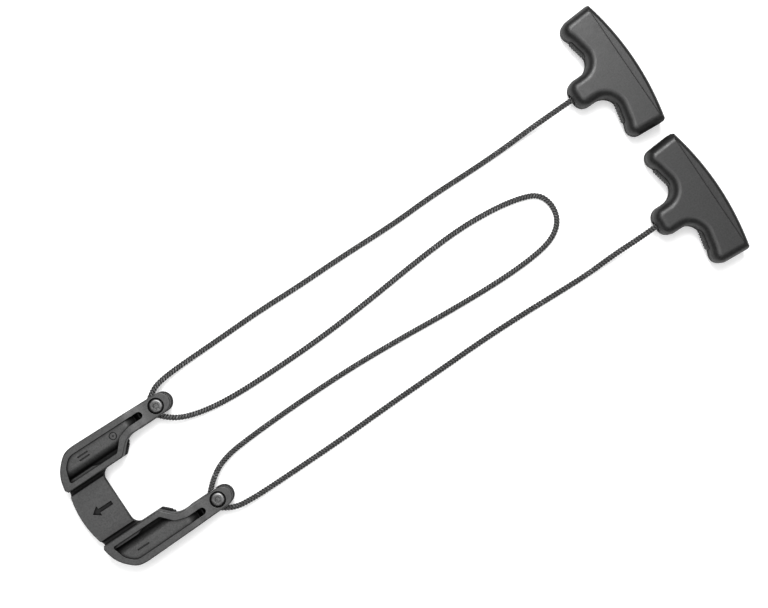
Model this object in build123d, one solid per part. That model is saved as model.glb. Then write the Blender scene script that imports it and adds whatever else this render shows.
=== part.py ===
from build123d import *
import math
import os

# Rope cocking aid for a crossbow: a one-piece sled that straddles the rail and hooks the
# string, two small pulleys in the sled's rear forks, and one braided cord that runs from
# a T-handle round one pulley, out in a loop for the stock, round the other pulley and
# back to the second T-handle.
#
# Millimetres.  +X runs from the sled to the handles, +Y is the side marked with two bars
# (the user's right hand, facing along the arrow), +Z is up.  The object lies on z = 0,
# and the origin is under the middle of the sled and handles.

# ---------------------------------------------------------------- driving dimensions
SIDES = {"right": 1, "left": -1}

# sled
sled_place = (-167.0, -3.3)      # point midway between the two pulley axes
sled_height = 20.0
axle_y = 40.1                    # each pulley axis, either side of the sled's middle
rail_half_width = 22.8           # inner wall of each arm
arm_outer_y = 49.2
fork_half_width = 7.3
fork_outer_y = 47.7
fork_tip_x = 11.2
bridge_top = 14.0
bridge_bottom = 7.0
bridge_rear_x = -60.0
bridge_front_x = -89.9
arm_front_x = -87.0

# the arm's top sinks towards the fork in one smooth step
step_front_x = -26.0
step_rear_x = -6.0
step_drop = 3.5
fork_top = sled_height - step_drop

# sunk panel in the arm's top
panel_depth = 1.6
panel_roll_y = 36.2              # from here the floor rolls down towards the rail
panel_roll_radius = 6.0
ramp_roll_x = -27.0              # and from here down to the well behind it
ramp_roll_radius = 9.0
well_front_x = -18.0
well_bottom = 4.0
ledge_depth = 2.2
mark_depth = 0.6
arrow_depth = 1.3

# string hook in each arm
string_slot_bottom = 6.0
string_slot_top = 11.0
string_slot_front_x = -52.0
window_front_x = -32.0
window_rear_x = -20.0

# fork, pulley and axle
fork_slot_bottom = 6.2
fork_slot_top = 12.4
fork_slot_front_x = -9.5
fork_mouth_rounding = 1.1
pulley_flange_radius = 7.5
pulley_root_radius = 4.1
pulley_side_gap = 0.2
screw_shank_radius = 2.95
axle_running_gap = 0.05
screw_head_radius = 5.2
screw_head_height = 2.4
counterbore_radius = 5.9
counterbore_depth = 2.7
nut_across_flats = 10.0
nut_height = 4.0
nut_pocket_depth = 4.4

# cord
cord_radius = 2.0
cord_on_floor = 2.1              # height of the cord's middle where it lies flat
cord_in_fork = (fork_slot_bottom + fork_slot_top) / 2
wrap_radius = 6.2                # the cord's middle round a pulley

# handle
handle_thickness = 24.0
handle_length = 99.3
handle_depth = 51.8
stem_half_width = 10.7
stem_corner_radius = 7.7
top_rounding = 6.5
palm_corner = (45.7, 49.65)
palm_corner_radius = 3.0
palm_edge_radius = 3.2
palm_crease_x = 44.0            # beyond this line the palm side sits a step lower
palm_step = 0.45
cord_bore_radius = 2.4
mouth_flare_radius = 4.3
mouth_flare_depth = 2.4
knot_pocket_radius = 6.8
knot_pocket_front = 31.0
palm_plug_front = 44.8
stopper_ball_radius = 5.4
washer_radius = 6.3
washer_thickness = 1.2
pad_x = 23.4                     # the pad's seat in the finger side
pad_y = 26.8
pad_angle = 12.0
pad_length = 15.2
pad_half_height = 5.1
pad_depth = 3.0
pad_proud = 0.8
pad_rib_height = 0.45
pad_ribs = 7
pad_rib_pitch = 2.1

HANDLES = {
    "right": {"mouth": (202.6, 54.5), "angle": 0.7},
    "left": {"mouth": (202.6, -54.5), "angle": 0.35},
}

os.makedirs("parts", exist_ok=True)


# ---------------------------------------------------------------- small helpers
def box_between(x0, x1, y0, y1, z0, z1):
    """A box from its lowest to its highest corner."""
    size = Box(x1 - x0, y1 - y0, z1 - z0)
    return Pos((x0 + x1) / 2, (y0 + y1) / 2, (z0 + z1) / 2) * size


def outline(points, radii):
    """A closed flat face through points, each corner rounded by its own radius."""
    face = make_face(Polyline(*points, close=True))
    for point, radius in zip(points, radii):
        if radius > 0:
            corner = face.vertices().sort_by_distance(Vector(*point))[0]
            face = fillet(corner, radius)
    return face


def raised(face, z0, z1):
    """The flat face made solid from z0 to z1."""
    return Pos(0, 0, z0) * extrude(face, z1 - z0, dir=(0, 0, 1))


def mirrored(shape, side):
    """The shape as drawn for +Y, or its mirror image for the left side."""
    if side > 0:
        return shape
    return mirror(shape, about=Plane.XZ)


def write(node, shape):
    shape.label = node
    export_step(shape, "parts/" + node + ".step")


# ---------------------------------------------------------------- sled body
def arm_face():
    """The arm's plan, drawn for +Y, round the pulley axis at (0, axle_y)."""
    y_in = rail_half_width
    y_narrow = axle_y - fork_half_width
    with BuildSketch() as plan:
        with BuildLine():
            Line((arm_front_x + 1.5, y_in), (arm_front_x, y_in + 2.3))
            Spline(
                (arm_front_x, y_in + 2.3),
                (-83.6, 36.6),
                (-76.0, 45.6),
                (-63.0, arm_outer_y),
                tangents=[(0.15, 1.0), (1.0, -0.02)],
            )
            Line((-63.0, arm_outer_y), (3.9, fork_outer_y))
            ThreePointArc((3.9, fork_outer_y), (fork_tip_x, axle_y), (3.9, y_narrow))
            Line((3.9, y_narrow), (-29.5, y_narrow))
            Line((-29.5, y_narrow), (-38.9, y_in))
            Line((-38.9, y_in), (arm_front_x + 1.5, y_in))
        make_face()
        inside_bend = plan.vertices().sort_by_distance((-29.5, y_narrow))[0]
        fillet(inside_bend, 14.0)
        shoulder = plan.vertices().sort_by_distance((-38.9, y_in))[0]
        fillet(shoulder, 4.0)
    return plan.sketch


def above_arm():
    """All the space above an arm's top, down to the fork's lower level."""
    run = step_rear_x - step_front_x
    radius = (run ** 2 + step_drop ** 2) / (4 * step_drop)
    turn = 2 * math.degrees(math.atan(step_drop / run))
    with BuildSketch(Plane.XZ) as side_view:
        with BuildLine():
            down = JernArc((step_front_x, sled_height), (1, 0), radius, -turn)
            level = JernArc(down @ 1, down % 1, radius, turn)
            end = level @ 1
            Polyline(
                end, (40, end.Y), (40, 40), (step_front_x, 40), (step_front_x, sled_height),
            )
        make_face()
    return extrude(side_view.sketch, 80, both=True)


def panel_plan():
    """The sunk panel's outline: wide in front, a round-ended slot beside the fork."""
    points = [
        (-80.9, 27.1),
        (-77.4, 38.4),
        (-71.0, 44.3),
        (-11.3, 43.6),
        (-11.3, 38.3),
        (-24.5, 38.3),
        (-33.4, 35.6),
        (-40.9, 27.1),
    ]
    radii = [1.4, 12.0, 9.0, 2.6, 2.6, 14.0, 7.0, 2.6]
    return outline(points, radii)


def panel_floor():
    """What is left standing under the panel: flat, rolled down at the rail and at the well."""
    top = sled_height - panel_depth
    low = well_bottom - 2
    with BuildSketch(Plane.XZ) as side_view:
        with BuildLine():
            Line((-95, low), (-95, top))
            Line((-95, top), (ramp_roll_x, top))
            roll = JernArc((ramp_roll_x, top), (1, 0), ramp_roll_radius, -90)
            Line(roll @ 1, (well_front_x, low))
            Line((well_front_x, low), (-95, low))
        make_face()
    along = extrude(side_view.sketch, 80, both=True)
    rolled_y = panel_roll_y - panel_roll_radius
    with BuildSketch(Plane.YZ) as front_view:
        with BuildLine():
            Line((60, low), (60, top))
            Line((60, top), (panel_roll_y, top))
            roll = JernArc((panel_roll_y, top), (-1, 0), panel_roll_radius, 90)
            Line(roll @ 1, (rolled_y, low))
            Line((rolled_y, low), (60, low))
        make_face()
    across = extrude(front_view.sketch, 120, both=True)
    return along & across


def arm_pocket():
    """Everything cut from above into one arm: panel, trench beside the rail, well, ledge."""
    plan = panel_plan()
    trench_bottom = sled_height - panel_depth - panel_roll_radius
    above_floor = raised(plan, trench_bottom, sled_height + 1) - panel_floor()
    well = raised(plan, well_bottom, sled_height + 1) & box_between(
        well_front_x, 0, 30, 50, well_bottom, sled_height + 1,
    )
    web = box_between(-14.9, -13.9, 37.0, 44.8, 3.0, 13.5)
    ledge = outline(
        [(-84, 25), (-84, 29.1), (-61, 29.1), (-48, 25)],
        [0, 0, 6.0, 0],
    )
    under_ledge = raised(ledge, well_bottom, sled_height - ledge_depth)
    return above_floor - under_ledge + (well - web)


def engraved_bar(x, y, length, floor_z):
    """A round-ended bar to cut into a floor, along X."""
    bar = SlotOverall(length, 1.1)
    return Pos(x, y, 0) * raised(bar, floor_z - mark_depth, floor_z + 1)


def arm_marks(name):
    """Cut marks on an arm's panel: two bars on the right, one on the left."""
    floor_z = sled_height - panel_depth
    if name == "left":
        return [engraved_bar(-62.3, 38.6, 10.0, floor_z)]
    ring = Circle(2.9) - Circle(2.3)
    date_ring = Pos(-37.0, 39.0, 0) * raised(ring + Circle(0.6), floor_z - 0.4, floor_z + 1)
    bars = [engraved_bar(-62.3, y, 8.6, floor_z) for y in (37.4, 40.1)]
    return bars + [date_ring]


def arm_solid():
    """One arm for +Y: rim, sunk panel, hook slot, window and rear fork."""
    body = raised(arm_face(), 0, sled_height) - above_arm()
    rim = ShapeList()
    for edge in body.edges().filter_by_position(Axis.Z, fork_top - 0.01, sled_height + 0.01):
        middle = edge @ 0.5
        seam = abs((edge @ 0).X - (edge @ 1).X) < 0.01 and middle.X > step_front_x - 0.01
        if middle.Z > fork_top - 0.01 and not seam:
            rim.append(edge)
    body = fillet(rim, 0.9)
    foot = body.edges().filter_by_position(Axis.Z, -0.01, 0.01)
    body = fillet(foot, 0.6)
    body -= arm_pocket()

    # the string's slot, open to the rear, and the window that the string rises through
    middle = (string_slot_bottom + string_slot_top) / 2
    slot_half = (string_slot_top - string_slot_bottom) / 2
    slot = box_between(
        string_slot_front_x + slot_half, window_rear_x, 15, 60,
        string_slot_bottom, string_slot_top,
    )
    seat = Pos(string_slot_front_x + slot_half, 37.5, middle)
    slot += seat * Rot(90, 0, 0) * Cylinder(slot_half, 45)
    window = box_between(window_front_x, window_rear_x, 29.5, 60, -1, string_slot_top)
    body -= slot + window
    return body


def hook_lip():
    """The hook's lower lip, which just shows behind the shoulder."""
    y_in = rail_half_width
    plan = outline(
        [(-44, y_in), (-38.4, y_in), (-32.9, 28.3), (-34.4, 30.6), (-38.0, 34.0), (-44, 34.0)],
        [0, 2.0, 0.6, 0, 0, 0],
    )
    lip = raised(plan, 0, string_slot_bottom)
    return chamfer(lip.edges().filter_by_position(Axis.Z, -0.01, 0.01), 0.6)


def fork_cut():
    """Everything that the pulley, its screw and its nut need cut from an arm."""
    space = box_between(
        fork_slot_front_x, fork_tip_x + 5, axle_y - 12, axle_y + 12,
        fork_slot_bottom, fork_slot_top,
    )
    hole = Cylinder(screw_shank_radius + 0.15, 60)
    head = Cylinder(counterbore_radius, 20)
    head = Pos(0, 0, fork_top - counterbore_depth + 10) * head
    pocket = extrude(RegularPolygon((nut_across_flats + 0.2) / 2, 6, major_radius=False), 20)
    pocket = Pos(0, 0, nut_pocket_depth - 20) * pocket
    return space + Pos(0, axle_y, 0) * (hole + head + pocket)


def bridge():
    """The crosspiece that rides on the rail, with its arrow and side grooves."""
    half = rail_half_width + 1.5
    front = arm_front_x + 1.3
    with BuildSketch() as plan:
        with BuildLine():
            ThreePointArc((front, -half), (bridge_front_x, 0), (front, half))
            Line((front, half), (bridge_rear_x, half))
            Line((bridge_rear_x, half), (bridge_rear_x, -half))
            Line((bridge_rear_x, -half), (front, -half))
        make_face()
    plate = raised(plan.sketch, bridge_bottom, bridge_top)
    # soft inside corners where the bridge runs into the arms
    reach = 6.6
    for side in SIDES.values():
        corner = raised(
            make_face(
                Polyline(
                    (bridge_rear_x - 1, side * half),
                    (bridge_rear_x - 1, side * (rail_half_width - reach)),
                    (bridge_rear_x, side * (rail_half_width - reach)),
                    (bridge_rear_x + reach, side * rail_half_width),
                    (bridge_rear_x + reach, side * half),
                    close=True,
                )
            ),
            bridge_bottom,
            bridge_top,
        )
        centre = (bridge_rear_x + reach, side * (rail_half_width - reach))
        round_cut = Pos(centre[0], centre[1], 10) * Cylinder(reach, 30)
        plate += corner - round_cut
    # a deep rounded gutter along each arm
    for side in SIDES.values():
        gutter = Pos(-75, side * (rail_half_width - 1.6), bridge_top - 0.9)
        plate -= gutter * Rot(0, 90, 0) * Cylinder(1.9, 60)
        plate -= box_between(
            -105, -45, *sorted((side * (rail_half_width - 3.5), side * (rail_half_width + 0.3))),
            bridge_top - 0.9, bridge_top + 1,
        )
    # the arrow points to the front, away from the handles
    arrow = Polyline(
        (-64.6, 1.45), (-75.6, 1.45), (-75.6, 4.0), (-81.0, 0),
        (-75.6, -4.0), (-75.6, -1.45), (-64.6, -1.45), close=True,
    )
    plate -= raised(make_face(arrow), bridge_top - arrow_depth, bridge_top + 1)
    return plate


def sled_body():
    body = bridge()
    arm = arm_solid() + hook_lip() - fork_cut()
    mouth = arm.edges().filter_by_position(
        Axis.Z, fork_slot_bottom - 0.01, fork_slot_bottom + 0.01,
    )
    tip = [edge for edge in mouth if (edge @ 0.5).X > fork_tip_x - 1]
    arm = fillet(tip, fork_mouth_rounding)
    for name, side in SIDES.items():
        one = arm
        for mark in arm_marks(name):
            one -= mark
        body += mirrored(one, side)
    return body


# ---------------------------------------------------------------- pulleys and axles
def pulley():
    """A grooved wheel, drawn on its own axis, with its middle at z = 0."""
    half = (fork_slot_top - fork_slot_bottom) / 2 - pulley_side_gap
    bore = screw_shank_radius + axle_running_gap
    groove = cord_radius + 0.1
    rim_groove = groove + 0.35
    with BuildSketch(Plane.XZ) as section:
        with BuildLine():
            Polyline(
                (bore, -half), (pulley_flange_radius - 0.4, -half),
                (pulley_flange_radius, -half + 0.3), (pulley_flange_radius, -rim_groove),
                (wrap_radius, -groove),
            )
            ThreePointArc((wrap_radius, -groove), (pulley_root_radius, 0), (wrap_radius, groove))
            Polyline(
                (wrap_radius, groove), (pulley_flange_radius, rim_groove),
                (pulley_flange_radius, half - 0.3), (pulley_flange_radius - 0.4, half),
                (bore, half), (bore, -half),
            )
        make_face()
    return revolve(section.sketch, Axis.Z)


def axle_screw():
    """M6 button-head screw: its plain shank is the pulley's axle."""
    seat = fork_top - counterbore_depth
    shank = Pos(0, 0, seat / 2 + 0.25) * Cylinder(screw_shank_radius, seat - 0.5)
    head = Pos(0, 0, seat + screw_head_height / 2) * Cylinder(screw_head_radius, screw_head_height)
    top = seat + screw_head_height
    crown = head.edges().filter_by_position(Axis.Z, top - 0.01, top + 0.01)
    head = fillet(crown, 1.9)
    socket = Pos(0, 0, seat + 0.7) * extrude(RegularPolygon(2.0, 6, major_radius=False), 5)
    return shank + head - socket


def lock_nut():
    """Nylon-collared M6 nut, held in its pocket under the fork."""
    top = nut_pocket_depth
    body = extrude(RegularPolygon(nut_across_flats / 2, 6, major_radius=False), nut_height - 1.2)
    collar = Pos(0, 0, -0.6) * Cylinder(nut_across_flats / 2 - 0.5, 1.2)
    nut = Pos(0, 0, top - nut_height + 1.2) * (body + collar)
    return nut - Cylinder(screw_shank_radius, 60)


# ---------------------------------------------------------------- cord
def cord_points():
    """The cord's route from the right handle's mouth to the left handle's mouth."""
    z = cord_on_floor
    f = cord_in_fork
    return [
        (202.6, 54.5, 12.0),
        (186.0, 54.3, 11.5),
        (166.0, 54.0, 7.0),
        (145.0, 53.0, 2.4),
        (119.0, 52.6, z),
        (80.0, 53.2, z),
        (47.0, 51.7, z),
        (3.0, 52.6, z),
        (-37.0, 52.2, z),
        (-69.0, 53.0, z),
        (-107.0, 52.1, z),
        (-135.0, 51.7, 3.1),
        (-153.0, 50.6, 7.4),
        (-163.5, 48.0, f),
        (-175.65, 37.63, f),
        (-163.7, 22.9, f),
        (-148.0, 15.9, 4.8),
        (-121.0, 11.7, z),
        (-79.0, 11.3, z),
        (-37.0, 12.3, z),
        (5.0, 15.7, z),
        (45.0, 19.8, z),
        (83.0, 22.3, z),
        (113.0, 20.6, z),
        (134.0, 16.6, z),
        (146.5, 11.2, z),
        (150.8, -0.3, z),
        (147.6, -12.8, z),
        (136.0, -21.3, z),
        (117.0, -24.5, z),
        (87.0, -25.3, z),
        (45.0, -23.4, z),
        (5.0, -20.3, z),
        (-37.0, -18.1, z),
        (-79.0, -18.1, z),
        (-120.0, -19.2, z),
        (-148.0, -21.3, 4.8),
        (-163.8, -29.9, f),
        (-175.74, -44.16, f),
        (-162.3, -55.5, f),
        (-146.0, -57.4, 5.6),
        (-118.0, -57.7, z),
        (-69.0, -57.3, z),
        (-27.0, -55.8, z),
        (15.0, -55.1, z),
        (55.0, -54.2, z),
        (86.0, -54.5, z),
        (117.0, -55.7, z),
        (145.0, -56.4, 2.4),
        (166.0, -55.0, 7.0),
        (186.0, -54.9, 11.5),
        (202.6, -54.5, 12.0),
    ]


def cord_path():
    """Straight runs joined by the largest arcs that the runs leave room for."""
    points = [Vector(*point) for point in cord_points()]
    radii = []
    for before, here, after in zip(points, points[1:], points[2:]):
        turn = (here - before).get_angle(after - here)
        shorter = min((here - before).length, (after - here).length)
        radius = 0.45 * shorter / math.tan(math.radians(turn / 2))
        if turn > 80:
            radius = wrap_radius
        radii.append(radius)
        print("cord turn %5.1f deg, run %5.1f mm, radius %7.1f mm" % (turn, shorter, radius))
    return FilletPolyline(*points, radius=radii)


def cord():
    path = cord_path()
    start = Plane(origin=path @ 0, z_dir=path % 0)
    tube = sweep(start * Circle(cord_radius), path=path)
    print("cord length %.1f mm, tube volume %.1f, section x length %.1f" % (
        path.length, tube.volume, math.pi * cord_radius ** 2 * path.length))
    for end in (path @ 0, path @ 1):
        tube += Pos(end.X, end.Y, end.Z) * Sphere(cord_radius)
    return tube


def cord_end():
    """The last of the cord inside a handle, drawn along +X from the handle's mouth."""
    start = cord_radius + 0.2
    knot_x = knot_pocket_front + washer_thickness + 0.1 + stopper_ball_radius - 0.8
    tail = Pos((start + knot_x) / 2, 0, 0) * Rot(0, 90, 0) * Cylinder(cord_radius, knot_x - start)
    knot = Pos(knot_x, 0, 0) * Sphere(stopper_ball_radius)
    knot -= box_between(knot_x - 9, knot_x - stopper_ball_radius + 0.8, -9, 9, -9, 9)
    return tail + knot


def knot_washer():
    """Flat washer between the stopper knot and the handle, drawn as the cord end is."""
    ring = Cylinder(washer_radius, washer_thickness) - Cylinder(cord_radius + 0.1, 5)
    return Pos(knot_pocket_front + 0.05 + washer_thickness / 2, 0, 0) * Rot(0, 90, 0) * ring


# ---------------------------------------------------------------- handle
def handle_plan():
    """The T's plan, drawn from its mouth at (0, 0) back along +X."""
    half = [
        (0, stem_half_width, stem_corner_radius),
        (26.8, stem_half_width, 11.0),
        (21.6, 35.3, 12.0),
        (16.4, 47.6, 7.2),
    ]
    with BuildSketch() as plan:
        with BuildLine():
            upper = [(x, y) for x, y, r in half] + [palm_corner]
            lower = [(x, -y) for x, y in reversed(upper)]
            Polyline(*lower, *upper)
            ThreePointArc(
                palm_corner, (handle_depth, 0), (palm_corner[0], -palm_corner[1]),
            )
        make_face()
        for x, y, radius in half:
            for side in (1, -1):
                here = plan.vertices().sort_by_distance((x, side * y))[0]
                fillet(here, radius)
    return plan.sketch


def handle_blank():
    """The grip's outside: a thick T with broad roundings and a rounded, stepped palm side."""
    plan = handle_plan()
    body = extrude(plan, handle_thickness)
    ends = []
    for level in (0, handle_thickness):
        loop = body.edges().filter_by_position(Axis.Z, level - 0.01, level + 0.01)
        ends += [edge for edge in loop if (edge @ 0.5).X < palm_corner[0]]
    body = fillet(ends, top_rounding)
    sagitta = handle_depth - palm_corner[0]
    palm_radius = (palm_corner[1] ** 2 + sagitta ** 2) / (2 * sagitta)
    inset = palm_edge_radius - 0.04
    for side in (1, -1):
        middle = handle_thickness / 2
        step_z = middle + side * (middle - palm_step)
        far_z = middle + side * (middle + 5)
        body -= box_between(palm_crease_x, 90, -60, 60, *sorted((step_z, far_z)))
        centre = (palm_radius - inset, step_z - side * inset)
        corner = Rectangle(8, 8, align=(Align.MIN, Align.MIN if side > 0 else Align.MAX))
        section = Plane.XZ * (Pos(*centre) * (corner - Circle(palm_edge_radius)))
        rounding = revolve(section, Axis.Z, 360)
        body -= Pos(handle_depth - palm_radius, 0, 0) * Rot(0, 0, 180) * rounding
    corners = [v for v in plan.vertices() if abs(v.X - palm_corner[0]) < 0.01]
    slivers = plan - fillet(corners, palm_corner_radius)
    body -= extrude(slivers, handle_thickness)
    return Pos(0, 0, -handle_thickness / 2) * body


def handle_grip(blank):
    flare = Pos(mouth_flare_depth / 2, 0, 0) * Rot(0, 90, 0)
    flare *= Cone(mouth_flare_radius, cord_bore_radius, mouth_flare_depth)
    bore = Pos(20, 0, 0) * Rot(0, 90, 0) * Cylinder(cord_bore_radius, 40)
    pocket = Pos((knot_pocket_front + 70) / 2, 0, 0)
    pocket *= Rot(0, 90, 0) * Cylinder(knot_pocket_radius, 70 - knot_pocket_front)
    grip = blank - flare - bore - pocket
    for seat in finger_pad_seats():
        grip -= seat
    return grip


def palm_plug(blank):
    """Press-in plug that closes the knot's pocket, flush with the palm side."""
    rod = Pos((palm_plug_front + 70) / 2, 0, 0)
    rod *= Rot(0, 90, 0) * Cylinder(knot_pocket_radius, 70 - palm_plug_front)
    hollow = Pos(palm_plug_front + 1.8, 0, 0) * Rot(0, 90, 0) * Cylinder(4.6, 3.6)
    return (rod & blank) - hollow


def finger_pad_place(side):
    """Where a pad sits in the finger side, turned to lie along it."""
    return Pos(pad_x, side * pad_y, 0) * Rot(0, 0, side * pad_angle)


def finger_pad_seats():
    """The two shallow seats cut in the finger side for the pads."""
    half = pad_length / 2
    seat = box_between(-6.0, pad_depth, -half, half, -pad_half_height, pad_half_height)
    return [finger_pad_place(side) * seat for side in (1, -1)]


def finger_pads():
    """The ribbed pads, one each side of the stem."""
    half = pad_length / 2
    pads = []
    for side in (1, -1):
        pad = box_between(-pad_proud, pad_depth, -half, half, -pad_half_height, pad_half_height)
        for number in range(pad_ribs):
            y = (number - (pad_ribs - 1) / 2) * pad_rib_pitch
            pad += box_between(
                -pad_proud - pad_rib_height, 0, y - 0.55, y + 0.55, -pad_half_height, pad_half_height,
            )
        pads.append(finger_pad_place(side) * pad)
    return pads


# ---------------------------------------------------------------- assembly
def build():
    sled_at = Pos(sled_place[0], sled_place[1], 0)
    write("sled_body", sled_at * sled_body())
    write("cord", cord())
    for name, side in SIDES.items():
        axle_at = sled_at * Pos(0, side * axle_y, 0)
        write("pulley_" + name, axle_at * Pos(0, 0, cord_in_fork) * pulley())
        write("axle_screw_" + name, axle_at * axle_screw())
        write("lock_nut_" + name, axle_at * lock_nut())

    blank = handle_blank()
    grip = handle_grip(blank)
    plug = palm_plug(blank)
    pads = finger_pads()
    for name, side in SIDES.items():
        mouth = HANDLES[name]["mouth"]
        at = Pos(mouth[0], mouth[1], handle_thickness / 2) * Rot(0, 0, HANDLES[name]["angle"])
        write("handle_grip_" + name, at * grip)
        write("palm_plug_" + name, at * plug)
        write("finger_pad_outer_" + name, at * (pads[0] if side > 0 else pads[1]))
        write("finger_pad_inner_" + name, at * (pads[1] if side > 0 else pads[0]))
        write("knot_washer_" + name, at * knot_washer())
        write("cord_end_" + name, at * cord_end())


build()
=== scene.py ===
import math

import bpy
import numpy as np
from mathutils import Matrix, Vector


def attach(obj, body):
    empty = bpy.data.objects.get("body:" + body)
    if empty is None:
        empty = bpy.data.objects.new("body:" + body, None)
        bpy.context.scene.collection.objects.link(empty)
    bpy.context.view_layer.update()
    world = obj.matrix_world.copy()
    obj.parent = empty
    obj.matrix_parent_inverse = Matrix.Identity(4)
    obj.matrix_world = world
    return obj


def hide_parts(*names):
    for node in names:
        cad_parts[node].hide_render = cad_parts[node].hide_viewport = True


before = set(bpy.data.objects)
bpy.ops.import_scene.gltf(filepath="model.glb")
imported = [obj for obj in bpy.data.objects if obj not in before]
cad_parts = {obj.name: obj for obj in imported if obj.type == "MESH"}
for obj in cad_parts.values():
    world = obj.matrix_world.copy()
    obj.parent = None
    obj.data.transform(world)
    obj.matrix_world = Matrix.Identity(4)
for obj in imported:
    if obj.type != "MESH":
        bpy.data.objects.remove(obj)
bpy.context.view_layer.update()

MM = 0.001
SIDES = {"right": 1, "left": -1}

# where things lie in the frame, in millimetres and degrees
AXLE = (-167.0, -3.3)  # midway between the two axles, which stand AXLE_Y to either side
AXLE_Y = 40.1
MOUTHS = {"right": (202.6, 54.5, 0.7), "left": (202.6, -54.5, 0.35)}  # x, y and turn
MID_HEIGHT = 12.0  # of the handles
ARROW_FLOOR = 12.7


# ---------------------------------------------------------------- camera

CAMERA_PLACE = (0.0093, 0.0072, 1.109)
CAMERA_TURN = -33.6
VIEW_ANGLE = 28.2

camera_data = bpy.data.cameras.new("camera")
camera_data.sensor_width = 36.0
camera_data.angle = math.radians(VIEW_ANGLE)
camera_data.clip_start = 0.05
camera_data.clip_end = 20.0
camera = bpy.data.objects.new("camera", camera_data)
camera.location = CAMERA_PLACE
camera.rotation_euler = (0.0, 0.0, math.radians(CAMERA_TURN))
bpy.context.scene.collection.objects.link(camera)
bpy.context.scene.camera = camera


# ------------------------------------------------------- material helpers

def new_material(name):
    """An empty node material and a function that adds nodes to it."""
    material = bpy.data.materials.new(name)
    material.use_nodes = True
    tree = material.node_tree
    tree.nodes.clear()

    def add(kind, inputs=None, **settings):
        node = tree.nodes.new("ShaderNode" + kind)
        for key, value in settings.items():
            setattr(node, key, value)
        for key, value in (inputs or {}).items():
            if isinstance(value, bpy.types.NodeSocket):
                tree.links.new(value, node.inputs[key])
            else:
                node.inputs[key].default_value = value
        return node

    return material, add


def surface(add, **inputs):
    """The material's one shader; an underscore in a name stands for a space."""
    named = {key.replace("_", " "): value for key, value in inputs.items()}
    shader = add("BsdfPrincipled", named)
    add("OutputMaterial", {"Surface": shader.outputs[0]})


def maths(add, operation, a, b=0.0):
    """One sum on two values or sockets."""
    return add("Math", {0: a, 1: b}, operation=operation).outputs[0]


def remap(add, value, low, high, to_low, to_high):
    """A value's span from low to high, stretched to another span and held at its ends."""
    node = add(
        "MapRange",
        {"Value": value, "From Min": low, "From Max": high, "To Min": to_low, "To Max": to_high},
    )
    return node.outputs[0]


def noise(add, position, size, detail=3.0, rough=0.55, distortion=0.0):
    """Noise whose blobs are about size metres across."""
    node = add(
        "TexNoise",
        {"Vector": position, "Scale": 1.0 / size, "Detail": detail, "Roughness": rough,
         "Distortion": distortion},
    )
    return node.outputs["Fac"]


def grey(value, tint=(1.0, 1.0, 1.0)):
    """A grey, or one slightly tinted."""
    return (value * tint[0], value * tint[1], value * tint[2], 1.0)


def mixed(add, factor, a, b):
    """Colour a where factor is 0, colour b where it is 1."""
    node = add("Mix", {0: factor}, data_type="RGBA")
    for socket, value in ((node.inputs[6], a), (node.inputs[7], b)):
        if isinstance(value, bpy.types.NodeSocket):
            node.id_data.links.new(value, socket)
        else:
            socket.default_value = value
    return node.outputs[2]


def soft_edges(add, reach):
    """Normals that turn round each edge, and how sharply they turn there, 0 to 1."""
    bevel = add("Bevel", {"Radius": reach}, samples=8).outputs[0]
    flat = add("NewGeometry").outputs["Normal"]
    same = add("VectorMath", {0: bevel, 1: flat}, operation="DOT_PRODUCT").outputs["Value"]
    return bevel, remap(add, same, 1.0, 0.86, 0.0, 1.0)


def occlusion_shade(add, distance, darkest, low=0.25, high=0.95):
    """Painted shade: darkest where less than low of the sky is open within distance, 1 where high of it
    is.
    """
    sky = add("AmbientOcclusion", {"Distance": distance}, samples=8).outputs["AO"]
    return remap(add, sky, low, high, darkest, 1.0)


def scratches(add, place, turn, spacing):
    """Thin straight scratches that run one way, 0 to 1: noise stretched out along them, of
    which only the peaks show."""
    laid = add(
        "Mapping",
        {"Vector": place, "Rotation": (0.0, 0.0, turn), "Scale": (0.035, 1.0, 1.0)},
    ).outputs[0]
    return remap(add, noise(add, laid, spacing, detail=2.0), 0.685, 0.72, 0.0, 1.0)


def ring_marks(add, place, points, radius):
    """1 on thin circles of one radius round points in the frame, which are in millimetres."""
    marks = 0.0
    for point in points:
        here = tuple(value * MM for value in point)
        away = add("VectorMath", {0: place, 1: here}, operation="DISTANCE").outputs["Value"]
        off = maths(add, "ABSOLUTE", maths(add, "SUBTRACT", away, radius))
        marks = maths(add, "MAXIMUM", remap(add, off, 0.0, 0.00022, 1.0, 0.0), marks)
    return marks


# -------------------------------------------------------------- materials

EJECTOR_RADIUS = 2.5 * MM
TURNING_PITCH = 0.12 * MM
BRIGHTEST_STEEL = 0.9


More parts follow.
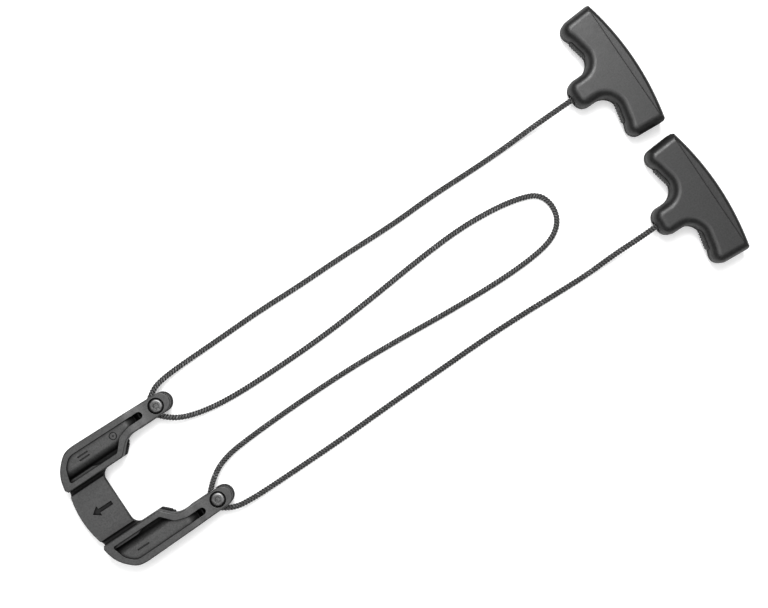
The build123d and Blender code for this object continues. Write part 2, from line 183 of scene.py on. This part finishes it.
def moulded_plastic(
    name, tone, rough, edge, grain, ejectors=(), seam=False, wear=0.3, gloss=0.5, shaded_floor_level=None,
):
    """Glass-filled nylon: spark-eroded grain, mottled tone, flow marks, rubbed edges, fine
    scratches and painted shade in crevices and where tall walls and the floor close in, with
    the mould's ejector circles and parting line. Flanks are left duller than tops and painted
    darker as shade, and floors at the level given, in millimetres, get more painted shade and less
    shine."""
    material, add = new_material(name)
    place = add("TexCoord").outputs["Object"]
    facing = add("SeparateXYZ", {0: add("TexCoord").outputs["Normal"]}).outputs[2]
    flank = remap(add, maths(add, "ABSOLUTE", facing), 0.10, 0.70, 1.0, 0.0)
    flow = noise(add, place, 0.022, detail=4.0, distortion=0.6)
    mottle = noise(add, place, 0.0012, detail=4.0, rough=0.65)
    patches = noise(add, place, 0.0045)
    bevel, edges = soft_edges(add, edge)
    # Painted shade from how much sky is open: within 2.8 mm in crevices, and within 25 mm where tall
    # walls and the floor close in.
    far_shade = occlusion_shade(add, 0.025, 0.18, 0.42, 0.92)
    painted_shade = maths(add, "MULTIPLY", occlusion_shade(add, 0.0028, 0.45), far_shade)
    # The recessed floor at the given level gets deeper painted shade.
    if shaded_floor_level is not None:
        off = maths(add, "SUBTRACT", add("SeparateXYZ", {0: place}).outputs[2], shaded_floor_level * MM)
        floor_shade = remap(add, maths(add, "ABSOLUTE", off), 0.00002, 0.00012, 0.35, 1.0)
        painted_shade = maths(add, "MULTIPLY", painted_shade, floor_shade)
    marks = maths(
        add, "MAXIMUM", scratches(add, place, 0.5, 0.0011), scratches(add, place, -0.9, 0.0014),
    )
    brightened = maths(add, "MULTIPLY", edges, remap(add, noise(add, place, 0.0016), 0.4, 0.62, 0.1, 1.0))

    base = mixed(add, remap(add, flow, 0.3, 0.7, 0.0, 1.0), grey(tone * 0.85), grey(tone * 1.15))
    base = mixed(add, remap(add, mottle, 0.40, 0.68, 0.0, 0.55), base, grey(tone * 2.3))
    base = mixed(add, remap(add, mottle, 0.52, 0.30, 0.0, 0.60), base, grey(tone * 0.35))
    base = mixed(add, maths(add, "MULTIPLY", brightened, wear), base, grey(tone * 3.4))
    base = mixed(add, maths(add, "MULTIPLY", marks, 0.30), base, grey(tone * 3.0))
    # Painted shade in crevices and near walls and floor.
    base = mixed(add, painted_shade, grey(tone * 0.2), base)
    # Flanks painted darker as shade.
    base = mixed(add, maths(add, "MULTIPLY", flank, 0.15), base, grey(tone * 0.2))

    roughness = remap(add, patches, 0.3, 0.7, rough - 0.05, rough + 0.05)
    roughness = maths(add, "SUBTRACT", roughness, maths(add, "MULTIPLY", brightened, 0.10))
    roughness = maths(add, "ADD", roughness, remap(add, far_shade, 0.1, 0.8, 0.35, 0.0))
    roughness = maths(add, "ADD", roughness, maths(add, "MULTIPLY", flank, 0.25))
    # The painted shade also dims the shine, and flanks shine less.
    shine = maths(add, "MULTIPLY", painted_shade, remap(add, flank, 0.0, 1.0, gloss, gloss * 0.5))

    fine = noise(add, place, grain, detail=2.0, rough=0.6)
    pits = add("TexVoronoi", {"Vector": place, "Scale": 0.5 / grain}).outputs["Distance"]
    height = maths(add, "ADD", fine, maths(add, "MULTIPLY", pits, 0.35))
    height = maths(add, "ADD", height, maths(add, "MULTIPLY", mottle, 1.6))
    height = maths(add, "SUBTRACT", height, maths(add, "MULTIPLY", marks, 0.5))
    if ejectors:
        rings = ring_marks(add, place, ejectors, EJECTOR_RADIUS)
        height = maths(add, "SUBTRACT", height, maths(add, "MULTIPLY", rings, 5.0))
    if seam:
        level = add("SeparateXYZ", {0: place}).outputs[2]
        off = maths(add, "ABSOLUTE", maths(add, "SUBTRACT", level, MID_HEIGHT * MM))
        height = maths(add, "ADD", height, remap(add, off, 0.0, 0.00016, 4.0, 0.0))
    bump = add(
        "Bump", {"Strength": 1.0, "Distance": 0.000022, "Height": height, "Normal": bevel}
    ).outputs[0]
    surface(add, Base_Color=base, Roughness=roughness, Specular_IOR_Level=shine, Normal=bump)
    return material


def rubber(name, tone):
    """Soft overmoulded rubber: matt and finely pebbled, with a painted highlight along the rib
    edges and painted shade between the ribs.
    """
    material, add = new_material(name)
    place = add("TexCoord").outputs["Object"]
    cloud = noise(add, place, 0.003, detail=4.0)
    pebble = noise(add, place, 0.00022, detail=2.0)
    bevel, edges = soft_edges(add, 0.00022)
    painted_shade = occlusion_shade(add, 0.001, 0.2)
    base = mixed(add, remap(add, cloud, 0.3, 0.7, 0.0, 1.0), grey(tone * 0.8), grey(tone * 1.3))
    # Painted highlight along the rib edges.
    base = mixed(add, maths(add, "MULTIPLY", edges, 0.5), base, grey(tone * 2.6))
    # Painted shade between the ribs.
    base = mixed(add, painted_shade, grey(tone * 0.3), base)
    bump = add(
        "Bump", {"Strength": 1.0, "Distance": 0.00003, "Height": pebble, "Normal": bevel}
    ).outputs[0]
    surface(
        add, Base_Color=base, Roughness=remap(add, cloud, 0.3, 0.7, 0.68, 0.82),
        Specular_IOR_Level=0.4, Normal=bump,
    )
    return material


def from_axle(add, place):
    """How far each point is from the axle on its side."""
    x, y = add("SeparateXYZ", {0: place}).outputs[:2]
    along = maths(add, "SUBTRACT", x, AXLE[0] * MM)
    across = maths(add, "ABSOLUTE", maths(add, "SUBTRACT", y, AXLE[1] * MM))
    across = maths(add, "SUBTRACT", across, AXLE_Y * MM)
    flat = add("CombineXYZ", {0: along, 1: across}).outputs[0]
    return add("VectorMath", {0: flat}, operation="LENGTH").outputs["Value"]


def steel(name, tone, rough, plating=(1.0, 1.0, 1.0), shade=0.25, rim=None):
    """Plated steel: tumbled, stained, with bright edges and painted shade in its hollows. With a
    rim it is turned about the axle, and from that radius outwards, in millimetres, it is
    brighter: rubbed metal, and partly a painted highlight."""
    material, add = new_material(name)
    place = add("TexCoord").outputs["Object"]
    cloud = noise(add, place, 0.0022, detail=5.0)
    stain = noise(add, place, 0.0007, detail=3.0)
    height = noise(add, place, 0.00022, detail=3.0)
    bevel, edges = soft_edges(add, 0.00025)
    painted_shade = occlusion_shade(add, 0.0012, shade)

    base = mixed(
        add, remap(add, cloud, 0.3, 0.7, 0.0, 1.0),
        grey(tone * 0.6, plating), grey(tone * 1.4, plating),
    )
    base = mixed(add, remap(add, stain, 0.50, 0.66, 0.0, 0.8), base, grey(tone * 0.25))
    if rim:
        radius = from_axle(add, place)
        turned = add(
            "TexNoise",
            {"W": maths(add, "MULTIPLY", radius, 1.0 / TURNING_PITCH), "Scale": 1.0, "Detail": 2.0},
            noise_dimensions="1D",
        ).outputs["Fac"]
        height = maths(add, "ADD", height, maths(add, "MULTIPLY", turned, 0.8))
        # Brighter from the rim outwards: rubbed metal, and partly a painted highlight.
        brightened = remap(add, radius, (rim - 0.5) * MM, (rim + 0.5) * MM, 0.0, 1.0)
        brightened = maths(add, "MULTIPLY", brightened, remap(add, cloud, 0.3, 0.6, 0.4, 1.0))
        base = mixed(add, brightened, base, grey(min(BRIGHTEST_STEEL, tone * 4.0)))
    bright = grey(min(BRIGHTEST_STEEL, tone * 2.6))
    base = mixed(add, maths(add, "MULTIPLY", edges, 0.5), base, bright)
    # Painted shade in hollows such as sockets.
    base = mixed(add, painted_shade, grey(tone * 0.12), base)
    bump = add(
        "Bump", {"Strength": 1.0, "Distance": 0.000012, "Height": height, "Normal": bevel}
    ).outputs[0]
    surface(
        add, Base_Color=base, Metallic=1.0, Normal=bump,
        Roughness=remap(add, cloud, 0.3, 0.7, rough - 0.07, rough + 0.07),
    )
    return material


def braid_material(name):
    """Spun polyester yarn: each strand is a twisted bundle of filaments, with pale flecks along
    the strands. The UV map strand runs across the strands in U, a whole number for each
    strand, and along them in V, in millimetres. In lift, U is 1 where a strand lies on top;
    where it passes under, and in the gaps between strands, it is painted dark as shade."""
    material, add = new_material(name)
    across, along = add("SeparateXYZ", {0: add("UVMap", uv_map="strand").outputs[0]}).outputs[:2]
    strand = maths(add, "FLOOR", across)
    twisted = maths(add, "ADD", maths(add, "MULTIPLY", across, 7.0), maths(add, "MULTIPLY", along, 0.9))
    drawn = maths(add, "ADD", maths(add, "MULTIPLY", along, 0.45), maths(add, "MULTIPLY", strand, 7.31))
    lay = add("CombineXYZ", {0: twisted, 1: drawn, 2: strand}).outputs[0]
    filament = add(
        "TexNoise", {"Vector": lay, "Scale": 1.0, "Detail": 3.0, "Roughness": 0.6}
    ).outputs["Fac"]
    place = add(
        "CombineXYZ",
        {0: maths(add, "MULTIPLY", strand, 3.7), 1: maths(add, "MULTIPLY", along, 0.30)},
    ).outputs[0]
    fleck = add("TexNoise", {"Vector": place, "Scale": 1.0, "Detail": 2.0}).outputs["Fac"]
    painted_shade = occlusion_shade(add, 0.0009, 0.0)
    lift = add("SeparateXYZ", {0: add("UVMap", uv_map="lift").outputs[0]}).outputs[0]
    base = mixed(add, remap(add, filament, 0.35, 0.65, 0.0, 1.0), grey(0.014), grey(0.150))
    pale = maths(
        add, "MULTIPLY",
        remap(add, fleck, 0.54, 0.66, 0.0, 0.9), remap(add, filament, 0.3, 0.6, 0.3, 1.0),
    )
    base = mixed(add, pale, base, grey(0.26, (1.0, 1.0, 1.02)))
    # Painted shade where a strand passes under others.
    base = mixed(add, remap(add, lift, 0.40, 0.90, 0.0, 1.0), grey(0.004), base)
    # Painted shade in the gaps between strands.
    base = mixed(add, painted_shade, grey(0.004), base)
    bump = add("Bump", {"Strength": 0.9, "Distance": 0.00006, "Height": filament}).outputs[0]
    surface(
        add, Base_Color=base, Roughness=0.62, Specular_IOR_Level=maths(add, "MULTIPLY", painted_shade, 0.45),
        Sheen_Weight=0.2, Sheen_Roughness=0.4, Normal=bump,
    )
    return material


def core_material(name):
    """The cord's core, near black: seen only between the strands, where it stands in for their shade.
    """
    material, add = new_material(name)
    place = add("TexCoord").outputs["Object"]
    base = mixed(add, noise(add, place, 0.0006), grey(0.004), grey(0.02))
    surface(add, Base_Color=base, Roughness=0.9, Specular_IOR_Level=0.1)
    return material


SLED_EJECTORS = [
    (AXLE[0] + x, AXLE[1] + side * y, 0.0)
    for side in SIDES.values()
    for x, y in ((-78.0, 33.0), (-56.0, 43.5), (-41.0, 31.0), (-15.0, 41.5))
]
HANDLE_EJECTORS = [
    (x + along, y + across, 0.0)
    for x, y, turn in MOUTHS.values()
    for along, across in ((11.0, 0.0), (34.0, 33.0), (34.0, -33.0))
]

SLED = moulded_plastic(
    "sled_plastic_look", 0.018, 0.36, 0.00035, 0.00030, SLED_EJECTORS, gloss=0.48,
    shaded_floor_level=ARROW_FLOOR,
)
HANDLE = moulded_plastic(
    "handle_plastic_look", 0.008, 0.36, 0.0006, 0.00028, HANDLE_EJECTORS, seam=True,
    wear=0.15, gloss=0.39,
)
PLUG = moulded_plastic("plug_plastic_look", 0.022, 0.42, 0.00030, 0.00028)
PULLEY = steel("pulley_metal_look", 0.64, 0.50, shade=1.0, rim=5.5)
PAD = rubber("pad_rubber_look", 0.014)
SCREW = steel("screw_steel_look", 0.09, 0.42, shade=0.35, rim=3.9)
NUT = steel("nut_steel_look", 0.36, 0.32, plating=(1.0, 1.0, 0.97))
BRAID = braid_material("cord_braid_look")
CORE = core_material("cord_core_look")

LOOKS = {
    "sled_body": SLED,
    "pulley": PULLEY,
    "axle_screw": SCREW,
    "lock_nut": NUT,
    "handle_grip": HANDLE,
    "palm_plug": PLUG,
    "finger_pad": PAD,
    "knot_washer": NUT,
    "cord": BRAID,
}

for name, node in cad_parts.items():
    look = next(value for key, value in LOOKS.items() if name.startswith(key))
    node.data.materials.clear()
    node.data.materials.append(look)


# ------------------------------------------------------------------ cord

CORD_RADIUS = 2.0 * MM
# heights of the cord's line in millimetres: on the floor, and in the forks
FLOOR = 2.1
FORK = 9.3

CORD_POINTS = (
    (202.6, 54.5, 12.0), (186.0, 54.3, 11.5), (166.0, 54.0, 7.0), (145.0, 53.0, 2.4),
    (119.0, 52.6, FLOOR), (80.0, 53.2, FLOOR), (47.0, 51.7, FLOOR), (3.0, 52.6, FLOOR),
    (-37.0, 52.2, FLOOR), (-69.0, 53.0, FLOOR), (-107.0, 52.1, FLOOR), (-135.0, 51.7, 3.1),
    (-153.0, 50.6, 7.4), (-163.5, 48.0, FORK), (-176.3, 37.6, FORK), (-163.7, 22.9, FORK),
    (-148.0, 15.9, 4.8), (-121.0, 11.7, FLOOR), (-79.0, 11.3, FLOOR), (-37.0, 12.3, FLOOR),
    (5.0, 15.7, FLOOR), (45.0, 19.8, FLOOR), (83.0, 22.3, FLOOR), (113.0, 20.6, FLOOR),
    (134.0, 16.6, FLOOR), (146.5, 11.2, FLOOR), (150.8, -0.3, FLOOR), (147.6, -12.8, FLOOR),
    (136.0, -21.3, FLOOR), (117.0, -24.5, FLOOR), (87.0, -25.3, FLOOR), (45.0, -23.4, FLOOR),
    (5.0, -20.3, FLOOR), (-37.0, -18.1, FLOOR), (-79.0, -18.1, FLOOR), (-120.0, -19.2, FLOOR),
    (-148.0, -21.3, 4.8), (-163.8, -29.9, FORK), (-176.4, -44.2, FORK), (-162.3, -55.5, FORK),
    (-146.0, -57.4, 5.6), (-118.0, -57.7, FLOOR), (-69.0, -57.3, FLOOR), (-27.0, -55.8, FLOOR),
    (15.0, -55.1, FLOOR), (55.0, -54.2, FLOOR), (86.0, -54.5, FLOOR), (117.0, -55.7, FLOOR),
    (145.0, -56.4, 2.4), (166.0, -55.0, 7.0), (186.0, -54.9, 11.5), (202.6, -54.5, 12.0),
)

# from a handle's mouth along its bore and through the stopper knot
KNOT_POINTS = (
    (-1.8, 0.0, 0.0), (10.0, 0.0, 0.0), (22.0, 0.0, 0.0), (31.0, 0.0, 0.0), (34.2, 0.6, 1.8),
    (35.6, 2.8, 2.2), (37.0, 2.9, -1.6), (36.2, -0.8, -3.4), (35.2, -3.2, -0.8),
    (36.4, -2.0, 2.8), (38.6, 1.6, 2.9), (39.6, 2.9, -0.6), (38.4, 0.0, -3.0),
    (38.2, -3.0, -0.8), (39.8, -1.2, 1.4), (40.2, 0.6, 0.4),
)


def spline_line(points_mm, resolution=24):
    """The points that a smooth NURBS line through space is drawn with."""
    data = bpy.data.curves.new("route", "CURVE")
    data.dimensions = "3D"
    data.resolution_u = resolution
    spline = data.splines.new("NURBS")
    spline.points.add(len(points_mm) - 1)
    for point, place in zip(spline.points, points_mm):
        point.co = (place[0] * MM, place[1] * MM, place[2] * MM, 1.0)
    spline.order_u = 3
    spline.use_endpoint_u = True
    holder = bpy.data.objects.new("route", data)
    bpy.context.scene.collection.objects.link(holder)
    bpy.context.view_layer.update()
    graph = bpy.context.evaluated_depsgraph_get()
    mesh = bpy.data.meshes.new_from_object(holder.evaluated_get(graph))
    line = np.array([v.co for v in mesh.vertices], float)
    bpy.data.meshes.remove(mesh)
    bpy.data.objects.remove(holder)
    bpy.data.curves.remove(data)
    return line


STRANDS_EACH_WAY = 4
CROSSING = 1.07 * MM  # along the cord from one crossing to the next
STRAND_OVER = 2.05 * MM  # from the cord's line to a strand on top
STRAND_UNDER = 1.56 * MM
STRAND_HALF = 1.12 * MM  # half a strand's width, round the cord
CORE_RADIUS = 1.3 * MM
CORE_SIDES = 6
TWIST_START = 1.67  # radians
TWIST_PER_METRE = 1.95
# across a strand in half widths, and above its line in millimetres
SECTION = ((-1.0, -0.36), (-0.45, 0.14), (0.45, 0.14), (1.0, -0.36))
LANE_HALF = 0.45  # half a strand's width in its UVs


def evenly(line, spacing):
    """Points about spacing apart along a line, and how far along it each one is."""
    steps = np.linalg.norm(np.diff(line, axis=0), axis=1)
    run = np.concatenate(([0.0], np.cumsum(steps)))
    where = np.linspace(0.0, run[-1], int(round(run[-1] / spacing)) + 1)
    points = np.stack([np.interp(where, run, line[:, axis]) for axis in range(3)], 1)
    return points, where


def square_to(line):
    """Two directions square to a line at each point, carried along it without twisting."""
    tangent = np.gradient(line, axis=0)
    tangent /= np.linalg.norm(tangent, axis=1)[:, None]
    up = np.array([0.0, 0.0, 1.0])
    ups = []
    for ahead in tangent:
        up = up - ahead * up.dot(ahead)
        up = up / np.linalg.norm(up)
        ups.append(up)
    ups = np.array(ups)
    return np.cross(ups, tangent), ups


def rounding(distance):
    """How far out a cord's surface stands, 0 to 1, this far from its rounded end."""
    left = np.clip(1.0 - distance / CORD_RADIUS, 0.0, 1.0)
    return np.sqrt(1.0 - left ** 2)


def tube_faces(base, rows, around):
    """Quads between rows of points that each go round a tube, counted from base."""
    faces = []
    for row in range(rows - 1):
        for j in range(around):
            a, b = base + row * around + j, base + row * around + (j + 1) % around
            faces.append((a, b, b + around, a + around))
    return faces


def strand_uvs(lane, where, over):
    """The strand and lift UVs of one strand, in the order of its tube_faces."""
    edges = [lane + across * LANE_HALF for across, lift in SECTION]
    uvs, lifts = [], []
    for row in range(len(where) - 1):
        low, high = where[row] / MM, where[row + 1] / MM
        here, ahead = (float(over[row]), 0.0), (float(over[row + 1]), 0.0)
        for left, right in zip(edges, edges[1:] + edges[:1]):
            uvs.extend(((left, low), (right, low), (right, high), (left, high)))
            lifts.extend((here, here, ahead, ahead))
    return uvs, lifts


def braid_mesh(name, verts, faces, uvs, lifts):
    """A mesh whose first faces, those that have UVs, are strands, and the rest are core."""
    strand_faces = len(uvs) // 4
    mesh = bpy.data.meshes.new(name)
    mesh.from_pydata([tuple(v) for v in verts], [], faces)
    no_uvs = [(0.0, 0.0)] * (4 * (len(faces) - strand_faces))
    for layer_name, values in (("strand", uvs), ("lift", lifts)):
        layer = mesh.uv_layers.new(name=layer_name)
        layer.data.foreach_set("uv", np.array(values + no_uvs, np.float32).ravel())
    mesh.materials.append(BRAID)
    mesh.materials.append(CORE)
    slots = np.zeros(len(faces), np.int32)
    slots[strand_faces:] = 1
    mesh.polygons.foreach_set("material_index", slots)
    mesh.polygons.foreach_set("use_smooth", np.ones(len(faces), bool))
    mesh.update()
    return mesh


def braided(name, line, body, round_ends=False):
    """An eight-strand braid along a line: each strand goes over two others and under two, and
    the whole braid turns slowly about the line."""
    centre, where = evenly(line, CROSSING / 2)
    side, up = square_to(centre)
    count = len(centre)
    reach = rounding(where) * rounding(where[-1] - where) if round_ends else np.ones(count)
    index = np.arange(count) / 2
    twist = TWIST_START + TWIST_PER_METRE * where
    verts, faces, uvs, lifts = [], [], [], []

    def ring(radius, turn):
        radius = radius * reach
        return (
            centre
            + side * (radius * np.cos(turn))[:, None]
            + up * (radius * np.sin(turn))[:, None]
        )

    for way in (1, -1):
        for strand in range(STRANDS_EACH_WAY):
            beat = 2 * strand + way * index
            over = 0.5 + 0.5 * way * np.clip(1.5 * np.cos((beat - 0.5) * math.pi / 2), -1.0, 1.0)
            radius = STRAND_UNDER + (STRAND_OVER - STRAND_UNDER) * over
            angle = beat * math.pi / STRANDS_EACH_WAY + twist
            rows = [
                ring(radius + lift * MM, angle + across * STRAND_HALF / radius)
                for across, lift in SECTION
            ]
            faces.extend(tube_faces(len(verts), count, len(SECTION)))
            verts.extend(np.stack(rows, 1).reshape(-1, 3))
            lane_uvs, lane_lifts = strand_uvs(2 * strand + (way < 0) + 0.5, where, over)
            uvs.extend(lane_uvs)
            lifts.extend(lane_lifts)
    turns = [np.full(count, 2 * math.pi * k / CORE_SIDES) for k in range(CORE_SIDES)]
    core = [ring(CORE_RADIUS, turn)[::2] for turn in turns]
    faces.extend(tube_faces(len(verts), len(core[0]), CORE_SIDES))
    verts.extend(np.stack(core, 1).reshape(-1, 3))

    thing = bpy.data.objects.new(name, braid_mesh(name, verts, faces, uvs, lifts))
    bpy.context.scene.collection.objects.link(thing)
    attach(thing, body)
    return thing


def in_handle(side, points):
    """Points given from a handle's mouth along its stem, in the frame."""
    x, y, turn = MOUTHS[side]
    c, s = math.cos(math.radians(turn)), math.sin(math.radians(turn))
    return [(x + c * a - s * b, y + s * a + c * b, MID_HEIGHT + h) for a, b, h in points]


route = spline_line(CORD_POINTS)
braided_cord = braided("braided_cord", route, "sled")
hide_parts("cord")
for side in SIDES:
    knot_line = spline_line(in_handle(side, KNOT_POINTS), resolution=12)
    end = braided("braided_end_" + side, knot_line, "cord_end_" + side, round_ends=True)
    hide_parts("cord_end_" + side)


# ----------------------------------------------------- floor and lighting

HALF_FLOOR = 3.0
FLOOR_LEVEL = -0.05 * MM
FLOOR_GLOW = 0.30
FILL = 0.26

floor_mesh = bpy.data.meshes.new("floor")
floor_mesh.from_pydata(
    [(x * HALF_FLOOR, y * HALF_FLOOR, FLOOR_LEVEL) for x, y in ((-1, -1), (1, -1), (1, 1), (-1, 1))],
    [],
    [(0, 1, 2, 3)],
)
floor = bpy.data.objects.new("floor", floor_mesh)
bpy.context.scene.collection.objects.link(floor)
floor_material, add = new_material("floor_look")
surface(
    add, Base_Color=grey(0.92), Roughness=0.9, Specular_IOR_Level=0.1,
    Emission_Color=grey(1.0), Emission_Strength=FLOOR_GLOW,
)
floor.data.materials.append(floor_material)


def softbox(name, place, size, power):
    """A rectangular lamp at place, in metres, aimed at the middle of the object."""
    data = bpy.data.lights.new(name, "AREA")
    data.shape = "RECTANGLE"
    data.size, data.size_y = size
    data.energy = power
    lamp = bpy.data.objects.new(name, data)
    lamp.location = place
    lamp.rotation_mode = "QUATERNION"
    lamp.rotation_quaternion = (-Vector(place)).to_track_quat("-Z", "Y")
    lamp.visible_camera = False
    bpy.context.scene.collection.objects.link(lamp)


softbox("overhead", (-0.10, 0.00, 1.90), (1.7, 1.5), 22.3)
softbox("key", (0.34, 0.42, 1.40), (0.40, 0.40), 8.0)
softbox("back", (0.40, 0.80, 1.40), (0.60, 0.50), 14.0)

world = bpy.data.worlds.new("studio")
world.use_nodes = True
background = world.node_tree.nodes["Background"]
background.inputs["Color"].default_value = (1.0, 1.0, 1.0, 1.0)
background.inputs["Strength"].default_value = FILL
bpy.context.scene.world = world
bpy.context.scene.view_settings.view_transform = "Standard"
